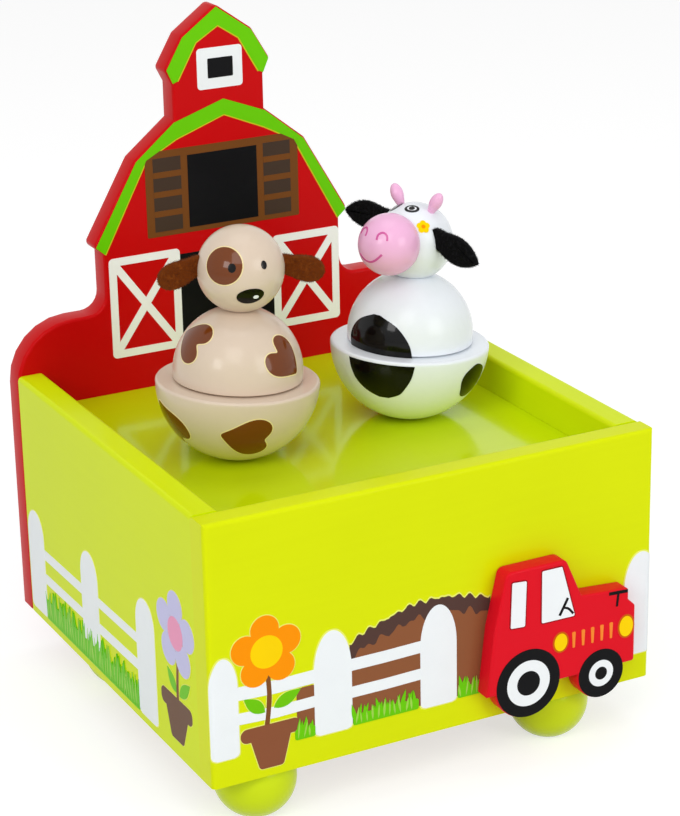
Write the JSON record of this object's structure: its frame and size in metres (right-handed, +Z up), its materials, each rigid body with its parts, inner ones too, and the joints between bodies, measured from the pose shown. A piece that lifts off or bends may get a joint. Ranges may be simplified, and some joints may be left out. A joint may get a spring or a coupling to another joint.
{
  "type": "toy music box",
  "caption": "Wooden toy music box with a barn board behind an open stage, where a dog and a cow circle over a magnet arm turned by a wind-up movement.",
  "frame": {"origin": "middle of the footprint on the floor, on the winding axis", "axes": "+X to the viewer's right, +Y from the front to the barn board, +Z up"},
  "size_m": [0.12, 0.126, 0.1703],
  "materials": {
    "lime_paint": "gloss paint on wood",
    "red_paint": "gloss paint on wood",
    "beige_paint": "gloss paint on wood",
    "white_paint": "gloss paint on wood",
    "pink_paint": "gloss paint on wood",
    "plywood": "bare plywood",
    "plain_wood": "bare wood",
    "brown_felt": "felt",
    "black_felt": "felt",
    "magnet": "plated magnet",
    "zinc": "cast metal",
    "steel": "bright steel",
    "brass": "bright brass",
    "white_plastic": "moulded plastic"
  },
  "bodies": {
    "case": {"front_wall": "lime_paint", "left_wall": "lime_paint", "right_wall": "lime_paint", "barn_board": "red_paint", "stage_deck": "lime_paint", "bottom_panel": "plywood", "foot_front_left": "lime_paint", "foot_front_right": "lime_paint", "foot_rear_left": "lime_paint", "foot_rear_right": "lime_paint", "tractor": "red_paint", "bedplate": "zinc", "bed_screws": "steel", "spring_housing": "brass", "mainspring": "steel", "left_bearing_plate": "zinc", "right_bearing_plate": "zinc", "comb": "steel", "comb_screws": "steel", "governor_bracket": "zinc"},
    "rotor": {"winding_key": "brass", "winding_arbor": "steel", "crown_wheel": "brass", "magnet_arm": "plain_wood", "arm_magnets": "magnet"},
    "cylinder": {"tune_cylinder": "brass", "cylinder_arbor": "steel", "cylinder_pinion": "brass", "great_wheel": "brass"},
    "governor": {"governor_wheel": "white_plastic"},
    "air_brake": {"governor_worm": "white_plastic", "governor_fan": "white_plastic"},
    "dog": {"dog_base": "beige_paint", "dog_magnet": "magnet", "dog_body": "beige_paint", "dog_dowel": "plain_wood", "dog_head": "beige_paint", "dog_left_ear": "brown_felt", "dog_right_ear": "brown_felt"},
    "cow": {"cow_base": "white_paint", "cow_magnet": "magnet", "cow_body": "white_paint", "cow_dowel": "plain_wood", "cow_head": "white_paint", "cow_muzzle": "pink_paint", "cow_left_ear": "black_felt", "cow_right_ear": "black_felt", "cow_left_horn": "pink_paint", "cow_right_horn": "pink_paint"}
  },
  "joints": [
    {"name": "key_turn", "type": "hinge", "parent": "case", "child": "rotor", "pos_m": [0, 0, 0.04], "axis": [0, 0, 1], "continuous": true},
    {"name": "cylinder_turn", "type": "hinge", "parent": "case", "child": "cylinder", "pos_m": [0.0248, 0, 0.0378], "axis": [1, 0, 0], "continuous": true},
    {"name": "governor_turn", "type": "hinge", "parent": "case", "child": "governor", "pos_m": [0.0355, 0.0108, 0.0378], "axis": [1, 0, 0], "continuous": true},
    {"name": "fan_turn", "type": "hinge", "parent": "case", "child": "air_brake", "pos_m": [0.037, 0.0184, 0.0378], "axis": [0, 0, 1], "continuous": true},
    {"name": "dog_spin", "type": "hinge", "parent": "rotor", "child": "dog", "pos_m": [-0.0235, -0.00041, 0.0711], "axis": [0, 0, 1], "continuous": true},
    {"name": "cow_spin", "type": "hinge", "parent": "rotor", "child": "cow", "pos_m": [0.0267, 0.00328, 0.0711], "axis": [0, 0, 1], "continuous": true}
  ],
  "couplings": [
    {"joint": "cylinder_turn", "follows": "key_turn", "ratio": 3},
    {"joint": "governor_turn", "follows": "key_turn", "ratio": -6},
    {"joint": "fan_turn", "follows": "key_turn", "ratio": 72}
  ]
}
